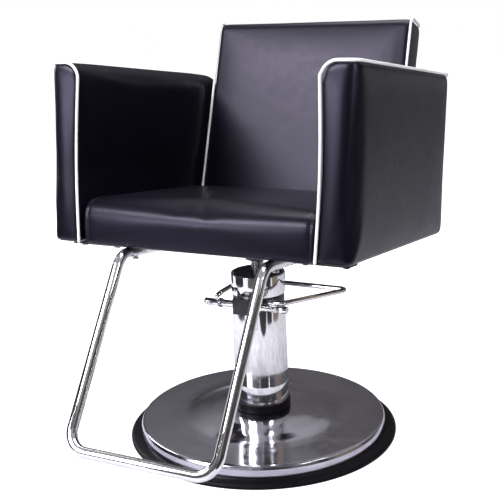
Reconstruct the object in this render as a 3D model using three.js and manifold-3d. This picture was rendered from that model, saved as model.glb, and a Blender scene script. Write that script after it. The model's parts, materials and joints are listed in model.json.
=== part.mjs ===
// Hydraulic salon styling chair: round base, pump column, foot pedal, and an upholstered chair with a footrest.
// Millimetres, +Z up. The column axis meets the floor at the origin. The sitter faces -Y, and +X is their left.
import * as THREE from 'three';
import { mergeVertices } from 'three/addons/utils/BufferGeometryUtils.js';
import Module from 'manifold-3d';

const wasm = await Module();
wasm.setup();

// Driving dimensions
const GAP = 0.3; // between pieces that touch
const DEG = Math.PI / 180;

const BASE_R = 305; // over the rubber ring
const SHELL_R = 281.3;
const PLATE_T = 6.6;
const SHELL_T = 1.8;
const SHELL_TOP = 56.5;
const LIP_Z = 37.6;
const DISH_R = 160; // ring where the dished middle meets the flat margin

const SLEEVE_R = 61.6;
const SLEEVE_TOP = 119;
const CONE_TOP_R = 59.5;
const HEAD_BOTTOM = 298.3;
const HEAD_TOP = 327.7;
const HEAD_R = 58;
const CAP_R = 60.45;
const CAP_TOP = 374.5;
const COVER_WALL = 1.6;

const RAM_R = 14;
const RAM_BOTTOM = 56;
const RAM_TOP = 424.2;
const RAM_BORE_R = RAM_R + GAP;

const SHAFT_Y = -72;
const SHAFT_Z = 316;
const SHAFT_R = 8;
const SHAFT_LEFT = -96;
const SHAFT_RIGHT = 104;
const BOSS_LEFT = -20;
const BOSS_RIGHT = 32;
const ROD_R = 5.5;
const LOOP_Z = SHAFT_Z + SHAFT_R + ROD_R + GAP;
const LOOP_R = 73; // the loop's bend round the column
const PLUNGER_X = 6;
const PLUNGER_Y = -42;
const PLUNGER_R = 6;
const PLUNGER_TOP = 310.7;
const SPRING_BOTTOM = 270.3;
const SPRING_TOP = 305.4;

const TILT = 7.04 * DEG; // the whole chair leans back
const TILT_Z = 400;
const SEAT_HALF = 263.2;
const SEAT_FRONT = -292.5;
const SEAT_BOTTOM = 447.9;
const SEAT_TOP = 545;
const SEAT_REAR_TOP = 179;
const SEAT_REAR_LOW = 160;
const BOARD_T = 12;
const PLATE_HALF = 95;

const ARM_IN = 263.5;
const ARM_OUT = 335;
const ARM_FRONT = -298.8;
const ARM_REAR = 295;
const ARM_BOTTOM = 451;
const ARM_TOP = 817.5;
const ARM_ROUND = 32; // inner top corner
const PIPING_R = 3;
const ARM_BOARD = [289, 307]; // its two faces, from the middle of the chair
const STRAP_Y = -230; // the strap that joins an arm to the seat board
const STRAP_HALF = 22;
const STRAP_INNER_BOLT_X = 215;
const STRAP_OUTER_BOLT_X = 298;

const RECLINE = 11.8 * DEG; // of the back, from the chair's own upright
const BACK_HALF = 247;
const BACK_T = 80;
const BACK_Y = 191;
const BACK_Z = 561;
const BACK_LOW = -93;
const BACK_HIGH = 394;
const BACK_ROUND = 16;
const BRACKET_X = [120, 160]; // the bar's two edges, from the middle of the chair
const BRACKET_T = 5;
const BRACKET_REACH = 150; // up the back from the recline's foot

const TUBE_R = 11;
const TUBE_WALL = 1.6;
const TUBE_Z = SEAT_BOTTOM - GAP - TUBE_R;
const FOOT_HALF = 160;
const FOOT_TOP_Y = -299;
const FOOT_LOW_Y = -480.2;
const FOOT_LOW_Z = 85.1;
const FOOT_REAR_Y = -40;
const FOOT_BEND_R = 42;
const FOOT_BOLT_YS = [-245, -70];

// Materials: one standard material for each finish, cloned for each mesh
const FINISH = {
  chrome: { color: 0xd8dade, roughness: 0.08, metalness: 1 },
  steel: { color: 0x8d8f93, roughness: 0.35, metalness: 1 },
  castIron: { color: 0x1c1c1f, roughness: 0.55, metalness: 0.4 },
  blackPaint: { color: 0x151517, roughness: 0.5, metalness: 0.2 },
  rubber: { color: 0x121213, roughness: 0.75, metalness: 0 },
  leather: { color: 0x14131c, roughness: 0.42, metalness: 0 },
  piping: { color: 0xeeeeec, roughness: 0.45, metalness: 0 },
  plastic: { color: 0x101012, roughness: 0.5, metalness: 0 },
  wood: { color: 0xb89468, roughness: 0.8, metalness: 0 },
};

function named(name, geometry, finish) {
  const mesh = new THREE.Mesh(geometry, new THREE.MeshStandardMaterial(FINISH[finish]));
  mesh.name = name;
  return mesh;
}

// Solids and booleans
function solid(geometry) {
  const bare = geometry.index ? geometry.toNonIndexed() : geometry.clone();
  bare.deleteAttribute('normal');
  bare.deleteAttribute('uv');
  const merged = mergeVertices(bare, 1e-3);
  const vertProperties = new Float32Array(merged.attributes.position.array);
  const triVerts = new Uint32Array(merged.index.array);
  return new wasm.Manifold(new wasm.Mesh({ numProp: 3, vertProperties, triVerts }));
}

function asGeometry(manifold) {
  const mesh = manifold.getMesh();
  const geometry = new THREE.BufferGeometry();
  geometry.setAttribute('position', new THREE.BufferAttribute(new Float32Array(mesh.vertProperties), 3));
  geometry.setIndex(new THREE.BufferAttribute(new Uint32Array(mesh.triVerts), 1));
  geometry.computeVertexNormals();
  return geometry;
}

function union(...geometries) {
  return asGeometry(geometries.map(solid).reduce((whole, next) => whole.add(next)));
}

function cut(geometry, ...tools) {
  return asGeometry(tools.map(solid).reduce((whole, tool) => whole.subtract(tool), solid(geometry)));
}

// A box from its lowest to its highest corner
function box(low, high) {
  const size = high.map((value, axis) => value - low[axis]);
  const middle = high.map((value, axis) => (value + low[axis]) / 2);
  return new THREE.BoxGeometry(...size).translate(...middle);
}

// A rod along Z, or along X or Y, from one end to the other
function rodZ(radius, x, y, z0, z1, sides = 24) {
  const rod = new THREE.CylinderGeometry(radius, radius, z1 - z0, sides);
  return rod.rotateX(Math.PI / 2).translate(x, y, (z0 + z1) / 2);
}

function rodX(radius, y, z, x0, x1, sides = 24) {
  const rod = new THREE.CylinderGeometry(radius, radius, x1 - x0, sides);
  return rod.rotateZ(Math.PI / 2).translate((x0 + x1) / 2, y, z);
}

function rodY(radius, x, z, y0, y1, sides = 16) {
  return new THREE.CylinderGeometry(radius, radius, y1 - y0, sides).translate(x, (y0 + y1) / 2, z);
}

// A ring turned about Z from a closed outline of [radius, height] points, given anticlockwise
function turned(outline, sides = 32) {
  const points = [...outline, outline[0]].map(([r, z]) => new THREE.Vector2(r, z));
  return new THREE.LatheGeometry(points, sides).rotateX(Math.PI / 2);
}

function tubeZ(inner, outer, z0, z1, sides = 32) {
  return turned([[inner, z0], [outer, z0], [outer, z1], [inner, z1]], sides);
}

// A path that runs straight from each stop to the next
class StraightRuns extends THREE.Curve {
  constructor(stops) {
    super();
    this.stops = stops;
  }

  getPoint(t, target = new THREE.Vector3()) {
    const last = this.stops.length - 1;
    const place = THREE.MathUtils.clamp(t, 0, 1) * last;
    const index = Math.min(Math.floor(place + 1e-9), last - 1);
    return target.lerpVectors(this.stops[index], this.stops[index + 1], place - index);
  }

  getPointAt(u, target) {
    return this.getPoint(u, target);
  }

  getTangentAt(u, target) {
    return this.getTangent(u, target);
  }
}

// Stops round one corner, bent to a radius
function bend(before, corner, after, radius, steps) {
  const toBefore = before.clone().sub(corner).normalize();
  const toAfter = after.clone().sub(corner).normalize();
  const half = toBefore.angleTo(toAfter) / 2;
  const bisector = toBefore.clone().add(toAfter).normalize();
  const centre = corner.clone().addScaledVector(bisector, radius / Math.sin(half));
  const start = corner.clone().addScaledVector(toBefore, radius / Math.tan(half)).sub(centre);
  const end = corner.clone().addScaledVector(toAfter, radius / Math.tan(half)).sub(centre);
  const turn = start.angleTo(end);
  const axis = start.clone().cross(end).normalize();
  return Array.from({ length: steps + 1 }, (_, step) => (
    start.clone().applyAxisAngle(axis, (turn * step) / steps).add(centre)
  ));
}

// A path through corners, where bends holds a [radius, steps] for each corner between the ends
function bentPath(corners, bends) {
  const turns = bends.flatMap(([radius, steps], i) => (
    bend(corners[i], corners[i + 1], corners[i + 2], radius, steps)
  ));
  return new StraightRuns([corners[0], ...turns, corners[corners.length - 1]]);
}

function circle(radius, sides) {
  const shape = new THREE.Shape();
  for (let i = 0; i < sides; i += 1) {
    const angle = (2 * Math.PI * i) / sides;
    const move = i === 0 ? 'moveTo' : 'lineTo';
    shape[move](radius * Math.cos(angle), radius * Math.sin(angle));
  }
  return shape;
}

function swept(path, radius, sides, innerRadius = 0) {
  const section = circle(radius, sides);
  if (innerRadius > 0) {
    section.holes.push(circle(innerRadius, sides));
  }
  return new THREE.ExtrudeGeometry(section, { steps: path.stops.length - 1, extrudePath: path });
}

// An outline in the YZ plane, made as wide as x0 to x1
function slabX(outline, x0, x1) {
  const shape = new THREE.Shape(outline.map(([y, z]) => new THREE.Vector2(y, z)));
  const slab = new THREE.ExtrudeGeometry(shape, { depth: x1 - x0, bevelEnabled: false });
  return slab.rotateY(Math.PI / 2).rotateX(Math.PI / 2).translate(x0, 0, 0);
}

// An outline in the XZ plane, made as deep as y0 to y1
function slabY(outline, y0, y1) {
  const shape = new THREE.Shape(outline.map(([x, z]) => new THREE.Vector2(x, z)));
  const slab = new THREE.ExtrudeGeometry(shape, { depth: y1 - y0, bevelEnabled: false });
  return slab.rotateX(Math.PI / 2).translate(0, y1, 0);
}

// Points of an arc in a flat outline
function arc(cx, cy, radius, from, to, steps) {
  return Array.from({ length: steps + 1 }, (_, i) => {
    const angle = (from + ((to - from) * i) / steps) * DEG;
    return [cx + radius * Math.cos(angle), cy + radius * Math.sin(angle)];
  });
}

const vec = (x, y, z) => new THREE.Vector3(x, y, z);

// A hexagon-headed bolt along Z with its head below
function bolt(x, y, headBottom, headTop, tip, shankR, headR) {
  return union(rodZ(headR, x, y, headBottom, headTop, 6), rodZ(shankR, x, y, headTop - 1, tip, 12));
}

const chair = new THREE.Group();

// Base: floor plate, chromed shell, rubber ring and pump flange
function buildBase() {
  const boltR = 73;
  const corners = [45, 135, 225, 315].map((a) => [boltR * Math.cos(a * DEG), boltR * Math.sin(a * DEG)]);
  const holes = corners.map(([x, y]) => rodZ(5.4, x, y, 1.5, 40, 12));
  chair.add(named('floor_plate', cut(rodZ(SHELL_R, 0, 0, 0, PLATE_T, 48), ...holes), 'steel'));

  const rim = [[SHELL_R, PLATE_T + GAP], [SHELL_R, 16], [279.4, 31], [276.5, LIP_Z]];
  const dish = [[DISH_R + 4, 40.5], [DISH_R - 2, 44.5], [110, 52.5], [62, SHELL_TOP]];
  const under = [...dish].reverse().map(([r, z]) => [r, z - SHELL_T]);
  const foot = [[SHELL_R - 5, LIP_Z - SHELL_T], [SHELL_R - SHELL_T, 16], [SHELL_R - SHELL_T, PLATE_T + GAP]];
  chair.add(named('base_shell', turned([...rim, ...dish, ...under, ...foot], 48), 'chrome'));

  const ringIn = SHELL_R + 0.4;
  const ringOut = [[BASE_R - 1, 0], [BASE_R, 2], [BASE_R, 6], [302, 9.5], [288, 13.5], [ringIn, 14.6]];
  chair.add(named('base_trim_ring', turned([[ringIn, 0], ...ringOut], 48), 'rubber'));

  const flangeBottom = PLATE_T + GAP;
  const flange = cut(rodZ(85, 0, 0, flangeBottom, 14.3, 32), ...holes);
  chair.add(named('pump_flange', flange, 'castIron'));
  corners.forEach(([x, y], i) => {
    const shape = union(rodZ(8, x, y, 14.6, 20, 6), rodZ(5, x, y, 2, 15.6, 12));
    chair.add(named(`flange_bolt_${i + 1}`, shape, 'steel'));
  });
}

// Column: covers outside, reservoir and cylinder inside
function buildColumn() {
  const collarIn = SLEEVE_R + 0.4;
  const collar = [[collarIn, 56.9], [64, 56.9], [64.6, 59], [64.6, 68], [63.4, 75], [collarIn, 76]];
  chair.add(named('column_collar', turned(collar), 'rubber'));
  chair.add(named('lower_sleeve', tubeZ(SLEEVE_R - COVER_WALL, SLEEVE_R, 14.6, SLEEVE_TOP), 'chrome'));
  const coneBottom = SLEEVE_TOP + GAP;
  const coneTop = HEAD_BOTTOM - GAP;
  const cone = [
    [SLEEVE_R - COVER_WALL, coneBottom],
    [SLEEVE_R + 0.2, coneBottom],
    [CONE_TOP_R, coneTop],
    [CONE_TOP_R - COVER_WALL, coneTop],
  ];
  chair.add(named('cone_cover', turned(cone), 'chrome'));
  chair.add(named('reservoir_tube', tubeZ(26, 28.5, 14.6, coneTop), 'steel'));
  chair.add(named('pump_cylinder', tubeZ(18.1, 21.5, 14.6, coneTop), 'steel'));

  const lip = [[CAP_R, 328], [CAP_R, 373], [59, CAP_TOP], [55.5, CAP_TOP], [55.5, 371.5]];
  const wall = [[CAP_R - COVER_WALL, 371.5], [CAP_R - COVER_WALL, 328]];
  chair.add(named('pump_cap', turned([...lip, ...wall]), 'chrome'));
  chair.add(named('cap_insert', tubeZ(15.4, 55.2, 368, 372), 'plastic'));
  const gland = [
    [RAM_BORE_R, 300], [20, 300], [20, 328], [26, 328], [26, 367.7], [RAM_BORE_R, 367.7],
  ];
  chair.add(named('ram_gland', turned(gland, 40), 'castIron'));
}

// Pump head: a cast disc with the pedal shaft's boss in front and the plunger barrel hanging below
function buildPumpHead() {
  const bossBack = -61.2;
  const body = union(
    rodZ(HEAD_R, 0, 0, HEAD_BOTTOM, HEAD_TOP, 32),
    box([BOSS_LEFT, -88, HEAD_BOTTOM], [BOSS_RIGHT, -40, HEAD_TOP]),
    box([BOSS_LEFT, -88, HEAD_TOP - 4], [BOSS_RIGHT, bossBack, 333.5]),
    rodZ(13, PLUNGER_X, PLUNGER_Y, 215, HEAD_BOTTOM + 1),
  );
  const head = cut(
    body,
    rodZ(20.3, 0, 0, 290, 340, 40),
    rodX(SHAFT_R + GAP, SHAFT_Y, SHAFT_Z, -60, 60),
    box([-5, -84.5, 290], [17, -62, 329.5]),
    box([-5, -63, 299], [17, -28, 325]),
    rodZ(PLUNGER_R + GAP, PLUNGER_X, PLUNGER_Y, 200, 280),
    rodZ(10, PLUNGER_X, PLUNGER_Y, SPRING_BOTTOM - GAP, 305),
  );
  chair.add(named('pump_head', head, 'castIron'));

  const plunger = union(
    rodZ(PLUNGER_R, PLUNGER_X, PLUNGER_Y, 250, PLUNGER_TOP - 2),
    rodZ(9, PLUNGER_X, PLUNGER_Y, SPRING_TOP + GAP, PLUNGER_TOP),
  );
  chair.add(named('pump_plunger', plunger, 'steel'));
  chair.add(named('plunger_spring', buildSpring(), 'steel'));
}

// Return spring round the plunger
function buildSpring() {
  const turns = 6;
  const steps = 10 * turns;
  const wire = 0.8;
  const low = SPRING_BOTTOM + wire;
  const rise = SPRING_TOP - wire - low;
  const coilR = 8;
  const stops = Array.from({ length: steps + 1 }, (_, i) => {
    const angle = (2 * Math.PI * turns * i) / steps;
    const x = PLUNGER_X + coilR * Math.cos(angle);
    const y = PLUNGER_Y + coilR * Math.sin(angle);
    return vec(x, y, low + (rise * i) / steps);
  });
  return swept(new StraightRuns(stops), wire, 5);
}

// Pedal: cross shaft, collar, finger that drives the plunger, and the bent rod loop
function buildPedal() {
  const boltXs = { left: -82, right: 80 };
  const crossHoles = Object.values(boltXs).map((x) => rodY(3.3, x, SHAFT_Z, -90, -50));
  const endHole = rodX(3, SHAFT_Y, SHAFT_Z, SHAFT_RIGHT - 14, SHAFT_RIGHT + 5, 12);
  const shaft = rodX(SHAFT_R, SHAFT_Y, SHAFT_Z, SHAFT_LEFT, SHAFT_RIGHT);
  chair.add(named('pedal_shaft', cut(shaft, ...crossHoles, endHole), 'chrome'));

  Object.entries(boltXs).forEach(([side, x]) => {
    const front = SHAFT_Y - SHAFT_R - GAP;
    const shape = union(rodY(5.5, x, SHAFT_Z, front - 3, front, 12), rodY(3, x, SHAFT_Z, front - 1, -64, 12));
    chair.add(named(`pedal_bolt_${side}`, shape, 'steel'));
  });

  const bore = rodX(SHAFT_R + GAP, SHAFT_Y, SHAFT_Z, -70, 70);
  chair.add(named('shaft_collar', cut(rodX(10.5, SHAFT_Y, SHAFT_Z, -61, -54), bore), 'steel'));
  const finger = union(
    rodX(12, SHAFT_Y, SHAFT_Z, -3.5, 15.5),
    box([-3.5, SHAFT_Y, PLUNGER_TOP + GAP], [15.5, PLUNGER_Y + 2, SHAFT_Z + 6]),
  );
  chair.add(named('cam_finger', cut(finger, bore), 'steel'));

  const corners = [
    vec(-68, SHAFT_Y, LOOP_Z),
    vec(-LOOP_R, -40, LOOP_Z),
    vec(-LOOP_R, LOOP_R, LOOP_Z),
    vec(190, LOOP_R - 1, LOOP_Z),
    vec(92, SHAFT_Y, LOOP_Z),
    vec(58, SHAFT_Y, LOOP_Z),
  ];
  const bends = [[20, 5], [LOOP_R - 1, 10], [11, 5], [12, 5]];
  chair.add(named('pedal_loop', swept(bentPath(corners, bends), ROD_R, 10), 'chrome'));
}

// Ram: the polished rod that lifts the chair, and the piston on its foot
function buildRam() {
  chair.add(named('ram', rodZ(RAM_R, 0, 0, RAM_BOTTOM, RAM_TOP, 40), 'steel'));
  chair.add(named('ram_piston', tubeZ(RAM_BORE_R, 17.8, 62, 84), 'steel'));
}

// The upright socket on the ram, cut off along the underside of the leaning mounting plate
function buildHub() {
  const above = box([-60, -60, 0], [60, 60, 60]);
  above.translate(0, 0, SEAT_BOTTOM - GAP - 6 - TILT_Z).rotateX(-TILT).translate(0, 0, TILT_Z);
  const hub = cut(rodZ(27, 0, 0, 404, 455, 40), rodZ(RAM_BORE_R, 0, 0, 400, RAM_TOP + GAP, 40), above);
  chair.add(named('swivel_hub', hub, 'castIron'));
}

// The leaning frame that the seat, arms, back and footrest are placed in
function leaningFrame() {
  const pivot = new THREE.Group();
  pivot.position.z = TILT_Z;
  pivot.rotation.x = -TILT;
  const frame = new THREE.Group();
  frame.position.z = -TILT_Z;
  pivot.add(frame);
  chair.add(pivot);
  return frame;
}

function buildSeat(frame) {
  const plateTop = SEAT_BOTTOM;
  const plateBottom = plateTop - 6;
  const at = 70;
  const spots = [[-at, -at], [at, -at], [at, at], [-at, at]];
  const boltHoles = spots.map(([x, y]) => rodZ(4.4, x, y, 430, 470, 12));
  const plate = box([-PLATE_HALF, -PLATE_HALF, plateBottom], [PLATE_HALF, PLATE_HALF, plateTop]);
  frame.add(named('mount_plate', cut(plate, ...boltHoles), 'blackPaint'));
  spots.forEach(([x, y], i) => {
    const shape = bolt(x, y, plateBottom - GAP - 5.5, plateBottom - GAP, 457, 4, 7.5);
    frame.add(named(`mount_bolt_${i + 1}`, shape, 'steel'));
  });

  const boardBottom = plateTop + GAP;
  const board = box([-240, -265, boardBottom], [240, 145, boardBottom + BOARD_T]);
  const boardHoles = [...footBoltSpots(), ...strapBoltSpots()].map(([x, y]) => rodZ(4, x, y, 430, 480, 12));
  frame.add(named('seat_board', cut(board, ...boltHoles, ...boardHoles), 'wood'));

  const roll = 38;
  const crown = arc(SEAT_FRONT + roll, SEAT_TOP - roll, roll, 180, 90, 6);
  const outline = [
    [SEAT_FRONT + 6, SEAT_BOTTOM],
    [SEAT_FRONT, SEAT_BOTTOM + 8],
    ...crown,
    [SEAT_REAR_TOP, SEAT_TOP],
    [SEAT_REAR_LOW, SEAT_BOTTOM],
  ];
  const pocket = box([-242, -267, 440], [242, 147, boardBottom + BOARD_T + GAP]);
  const cushion = cut(slabX(outline.reverse(), -SEAT_HALF, SEAT_HALF), pocket);
  frame.add(named('seat_cushion', cushion, 'leather'));
}

// Bolt places under the seat
function footBoltSpots() {
  return FOOT_BOLT_YS.flatMap((y) => [[-FOOT_HALF, y], [FOOT_HALF, y]]);
}

function strapBoltSpots() {
  return [[-STRAP_INNER_BOLT_X, STRAP_Y], [STRAP_INNER_BOLT_X, STRAP_Y]];
}

// Footrest: one bent tube, bolted up into the seat board
function buildFootrest(frame) {
  const corners = [
    vec(-FOOT_HALF, FOOT_REAR_Y, TUBE_Z),
    vec(-FOOT_HALF, FOOT_TOP_Y, TUBE_Z),
    vec(-FOOT_HALF, FOOT_LOW_Y, FOOT_LOW_Z),
    vec(FOOT_HALF, FOOT_LOW_Y, FOOT_LOW_Z),
    vec(FOOT_HALF, FOOT_TOP_Y, TUBE_Z),
    vec(FOOT_HALF, FOOT_REAR_Y, TUBE_Z),
  ];
  const path = bentPath(corners, Array(4).fill([FOOT_BEND_R, 6]));
  const tube = swept(path, TUBE_R, 12, TUBE_R - TUBE_WALL);
  const holes = footBoltSpots().map(([x, y]) => rodZ(3.6, x, y, 415, 460, 12));
  frame.add(named('footrest', cut(tube, ...holes), 'chrome'));
  footBoltSpots().forEach(([x, y], i) => {
    const headTop = TUBE_Z - TUBE_R - GAP;
    frame.add(named(`footrest_bolt_${i + 1}`, bolt(x, y, headTop - 5, headTop, 457, 3.2, 6.5), 'steel'));
  });
  [['left', FOOT_HALF], ['right', -FOOT_HALF]].forEach(([side, x]) => {
    const plug = rodY(TUBE_R - 0.6, x, TUBE_Z, FOOT_REAR_Y + GAP, FOOT_REAR_Y + 4, 12);
    frame.add(named(`footrest_plug_${side}`, plug, 'plastic'));
  });
}

// One arm: a padded box on a board, piped along its front inner and top outer edges
function buildArm(frame, side, sign) {
  const x = (value) => sign * value;
  const span = (from, to) => [x(from), x(to)].sort((low, high) => low - high);
  const outline = [
    [x(ARM_IN), ARM_BOTTOM],
    [x(ARM_OUT), ARM_BOTTOM],
    [x(ARM_OUT), ARM_TOP],
    ...arc(ARM_IN + ARM_ROUND, ARM_TOP - ARM_ROUND, ARM_ROUND, 90, 180, 5).map(([px, pz]) => [x(px), pz]),
  ];
  const shell = slabY(sign > 0 ? outline : outline.reverse(), ARM_FRONT, ARM_REAR);
  const [boardLow, boardHigh] = span(...ARM_BOARD);
  const boardTop = 778;
  const boardHalf = 260;
  const pocket = box([boardLow - GAP, -boardHalf - 2, 440], [boardHigh + GAP, boardHalf + 2, boardTop + 2]);
  const groove = swept(armPipingPath(x, 8), PIPING_R + 0.35, 8);
  frame.add(named(`arm_${side}`, cut(shell, pocket, groove), 'leather'));
  frame.add(named(`arm_piping_${side}`, swept(armPipingPath(x, 0), PIPING_R, 8), 'piping'));

  const board = box([boardLow, -boardHalf, ARM_BOTTOM], [boardHigh, boardHalf, boardTop]);
  const boardHole = rodZ(4.2, x(STRAP_OUTER_BOLT_X), STRAP_Y, 440, 490, 12);
  frame.add(named(`arm_board_${side}`, cut(board, boardHole), 'wood'));
  buildArmStrap(frame, side, x, span);
}

// The flat strap from the seat board out to the arm, with a raised pad under the arm
function buildArmStrap(frame, side, x, span) {
  const top = SEAT_BOTTOM - 0.1;
  const bottom = top - 5;
  const [inner, outer] = span(200, 312);
  const [padInner, padOuter] = span(280, 312);
  const strap = union(
    box([inner, STRAP_Y - STRAP_HALF, bottom], [outer, STRAP_Y + STRAP_HALF, top]),
    box([padInner, STRAP_Y - STRAP_HALF, top - 1], [padOuter, STRAP_Y + STRAP_HALF, ARM_BOTTOM - GAP]),
  );
  const boltXs = [x(STRAP_INNER_BOLT_X), x(STRAP_OUTER_BOLT_X)];
  const holes = boltXs.map((px) => rodZ(4.2, px, STRAP_Y, 430, 470, 12));
  frame.add(named(`arm_strap_${side}`, cut(strap, ...holes), 'blackPaint'));
  const headTop = bottom - GAP;
  const shapes = [457, 480].map((tip, i) => bolt(boltXs[i], STRAP_Y, headTop - 5, headTop, tip, 3.8, 6.5));
  frame.add(named(`strap_bolt_${side}`, shapes[0], 'steel'));
  frame.add(named(`arm_bolt_${side}`, shapes[1], 'steel'));
}

// Up the front inner edge, over the front, then back along the outer top edge
function armPipingPath(x, extra) {
  const corners = [
    vec(x(ARM_IN), ARM_FRONT, ARM_BOTTOM - extra + 1),
    vec(x(ARM_IN), ARM_FRONT, ARM_TOP),
    vec(x(ARM_OUT), ARM_FRONT, ARM_TOP),
    vec(x(ARM_OUT), ARM_REAR + extra - 1, ARM_TOP),
  ];
  return bentPath(corners, [[ARM_ROUND, 6], [8, 4]]);
}

// Back: a padded panel on a board, held by two bent bars that run under the seat
function buildBack(frame) {
  const back = new THREE.Group();
  back.position.set(0, BACK_Y, BACK_Z);
  back.rotation.x = -RECLINE;
  frame.add(back);

  const outline = [
    [0, BACK_LOW],
    [BACK_T, BACK_LOW],
    ...arc(BACK_T - BACK_ROUND, BACK_HIGH - BACK_ROUND, BACK_ROUND, 0, 90, 4),
    ...arc(BACK_ROUND, BACK_HIGH - BACK_ROUND, BACK_ROUND, 90, 180, 4),
  ];
  const panel = slabX(outline, -BACK_HALF, BACK_HALF);
  const boardHalf = 224;
  const boardTop = 350;
  const pocket = box([-boardHalf - 2, 38, BACK_LOW - 5], [boardHalf + 2, 60, boardTop + 2]);
  const grooves = [-1, 1].map((sign) => swept(backPipingPath(sign, 8), PIPING_R + 0.35, 8));
  back.add(named('back_cushion', cut(panel, pocket, ...grooves), 'leather'));
  [['left', 1], ['right', -1]].forEach(([side, sign]) => {
    back.add(named(`back_piping_${side}`, swept(backPipingPath(sign, 0), PIPING_R, 8), 'piping'));
  });
  const board = box([-boardHalf, 39, BACK_LOW + 8], [boardHalf, 39 + BOARD_T, boardTop]);
  back.add(named('back_board', board, 'wood'));

  // The bars run back under the seat, bend up at the heel, and end inside the back's pocket
  const depth = 55;
  const lean = vec(0, Math.sin(RECLINE), Math.cos(RECLINE));
  const foot = vec(0, BACK_Y + depth * Math.cos(RECLINE), BACK_Z - depth * Math.sin(RECLINE));
  const drop = (foot.z - (SEAT_BOTTOM - 3)) / lean.z;
  const heel = foot.clone().addScaledVector(lean, -drop);
  const top = foot.clone().addScaledVector(lean, BRACKET_REACH);
  const bar = strapOutline([[105, heel.z], [heel.y, heel.z], [top.y, top.z]], BRACKET_T);
  const [near, far] = BRACKET_X;
  frame.add(named('back_bracket_left', slabX(bar, near, far), 'blackPaint'));
  frame.add(named('back_bracket_right', slabX(bar, -far, -near), 'blackPaint'));
}

// Up the front edge, over the top corner, and back to where the rear corner has turned down
function backPipingPath(sign, extra) {
  const x = sign * BACK_HALF;
  const corners = [
    vec(x, 0, BACK_LOW - extra + 1),
    vec(x, 0, BACK_HIGH),
    vec(x, BACK_T, BACK_HIGH),
    vec(x, BACK_T, BACK_HIGH - BACK_ROUND),
  ];
  const radius = BACK_ROUND - 0.5;
  return bentPath(corners, [[radius, 5], [radius, 5]]);
}

// Outline of a bar of one thickness along a bent line
function strapOutline(line, thickness) {
  const points = line.map(([y, z]) => new THREE.Vector2(y, z));
  const sides = [1, -1].map((side) => points.map((point, i) => {
    const before = points[Math.max(i - 1, 0)];
    const after = points[Math.min(i + 1, points.length - 1)];
    const along = i > 0 ? point.clone().sub(before).normalize() : after.clone().sub(point).normalize();
    const next = i < points.length - 1 ? after.clone().sub(point).normalize() : along;
    const normal = vec2Normal(along).add(vec2Normal(next)).normalize();
    const reach = thickness / 2 / normal.dot(vec2Normal(along));
    return [point.x + side * reach * normal.x, point.y + side * reach * normal.y];
  }));
  return [...sides[1], ...sides[0].reverse()];
}

function vec2Normal(direction) {
  return new THREE.Vector2(-direction.y, direction.x);
}

buildBase();
buildColumn();
buildPumpHead();
buildPedal();
buildRam();
buildHub();
const frame = leaningFrame();
buildSeat(frame);
buildFootrest(frame);
buildArm(frame, 'left', 1);
buildArm(frame, 'right', -1);
buildBack(frame);

export default chair;
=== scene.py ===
import json
import math

import bmesh
import bpy
import numpy as np
from mathutils import Matrix, Vector
from mathutils.bvhtree import BVHTree


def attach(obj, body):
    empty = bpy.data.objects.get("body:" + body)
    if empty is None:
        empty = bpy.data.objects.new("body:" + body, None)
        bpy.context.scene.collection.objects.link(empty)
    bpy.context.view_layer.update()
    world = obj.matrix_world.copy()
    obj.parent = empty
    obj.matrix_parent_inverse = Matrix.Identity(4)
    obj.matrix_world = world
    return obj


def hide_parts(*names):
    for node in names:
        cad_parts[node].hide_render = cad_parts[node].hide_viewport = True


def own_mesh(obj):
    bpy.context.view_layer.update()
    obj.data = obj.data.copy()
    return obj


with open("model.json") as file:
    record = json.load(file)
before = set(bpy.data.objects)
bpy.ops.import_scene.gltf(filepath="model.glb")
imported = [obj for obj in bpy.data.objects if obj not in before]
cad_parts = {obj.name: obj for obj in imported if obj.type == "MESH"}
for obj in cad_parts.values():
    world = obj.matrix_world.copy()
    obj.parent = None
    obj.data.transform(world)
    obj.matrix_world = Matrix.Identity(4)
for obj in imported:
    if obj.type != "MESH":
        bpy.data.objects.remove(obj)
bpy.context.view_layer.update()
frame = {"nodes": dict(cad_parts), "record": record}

# The looks of a hydraulic styling chair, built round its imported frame. The chair's sizes are in millimetres,
# and MM turns them into metres. The chair body leans back: its pieces are made upright and then leant.

MM = 0.001

# Driving sizes, the same as the frame's
GAP = 0.3
TILT = math.radians(7.04)
TILT_Z = 400
RECLINE = math.radians(11.8)
BACK_Y = 191
BACK_Z = 561
BACK_HALF = 247
BACK_T = 80
BACK_LOW = -93
BACK_HIGH = 394
BACK_ROUND = 16
ARM_IN = 263.5
ARM_OUT = 335
ARM_FRONT = -298.8
ARM_REAR = 295
ARM_BOTTOM = 451
ARM_TOP = 817.5
ARM_ROUND = 32
ARM_BOW = 5  # the front seam bows in between its ends
PIPING_R = 2.9
OUTER_ROUND = 20  # the arm's outer front corner
REAR_ROUND = 12
REAR_INNER_ROUND = 10
REAR_TOP_ROUND = 14
WELT_PROUD = 0.8  # how far the welt's middle stands out of the seam
ARM_WELT_END_R = 20  # the turns where the welts end at the rear
BACK_WELT_END_R = 16
WELT_STEP = 2.0
SEAT_HALF = 262.6
SEAT_FRONT = -292.5
SEAT_BOTTOM = 447.9
SEAT_TOP = 545
SEAT_REAR_TOP = 179
SEAT_REAR_LOW = 160
SEAT_SEAM = 247  # a side seam, from the middle
SEAT_ROLL = 38  # the front top edge
SEAT_CROWN = 3
SEAT_TUCK = 5
GROOVE_DEPTH = 2.6
GROOVE_HALF = 2.6
STITCH_INSET = 3.5
TUBE_R = 11
TUBE_Z = SEAT_BOTTOM - GAP - TUBE_R
FOOT_HALF = 160
FOOT_TOP_Y = -299
FOOT_LOW_Y = -480.2
FOOT_LOW_Z = 85.1
FOOT_REAR_Y = -40
FOOT_BEND_R = 42
SHAFT_Y = -72
SHAFT_Z = 316
SHAFT_R = 8
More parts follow.
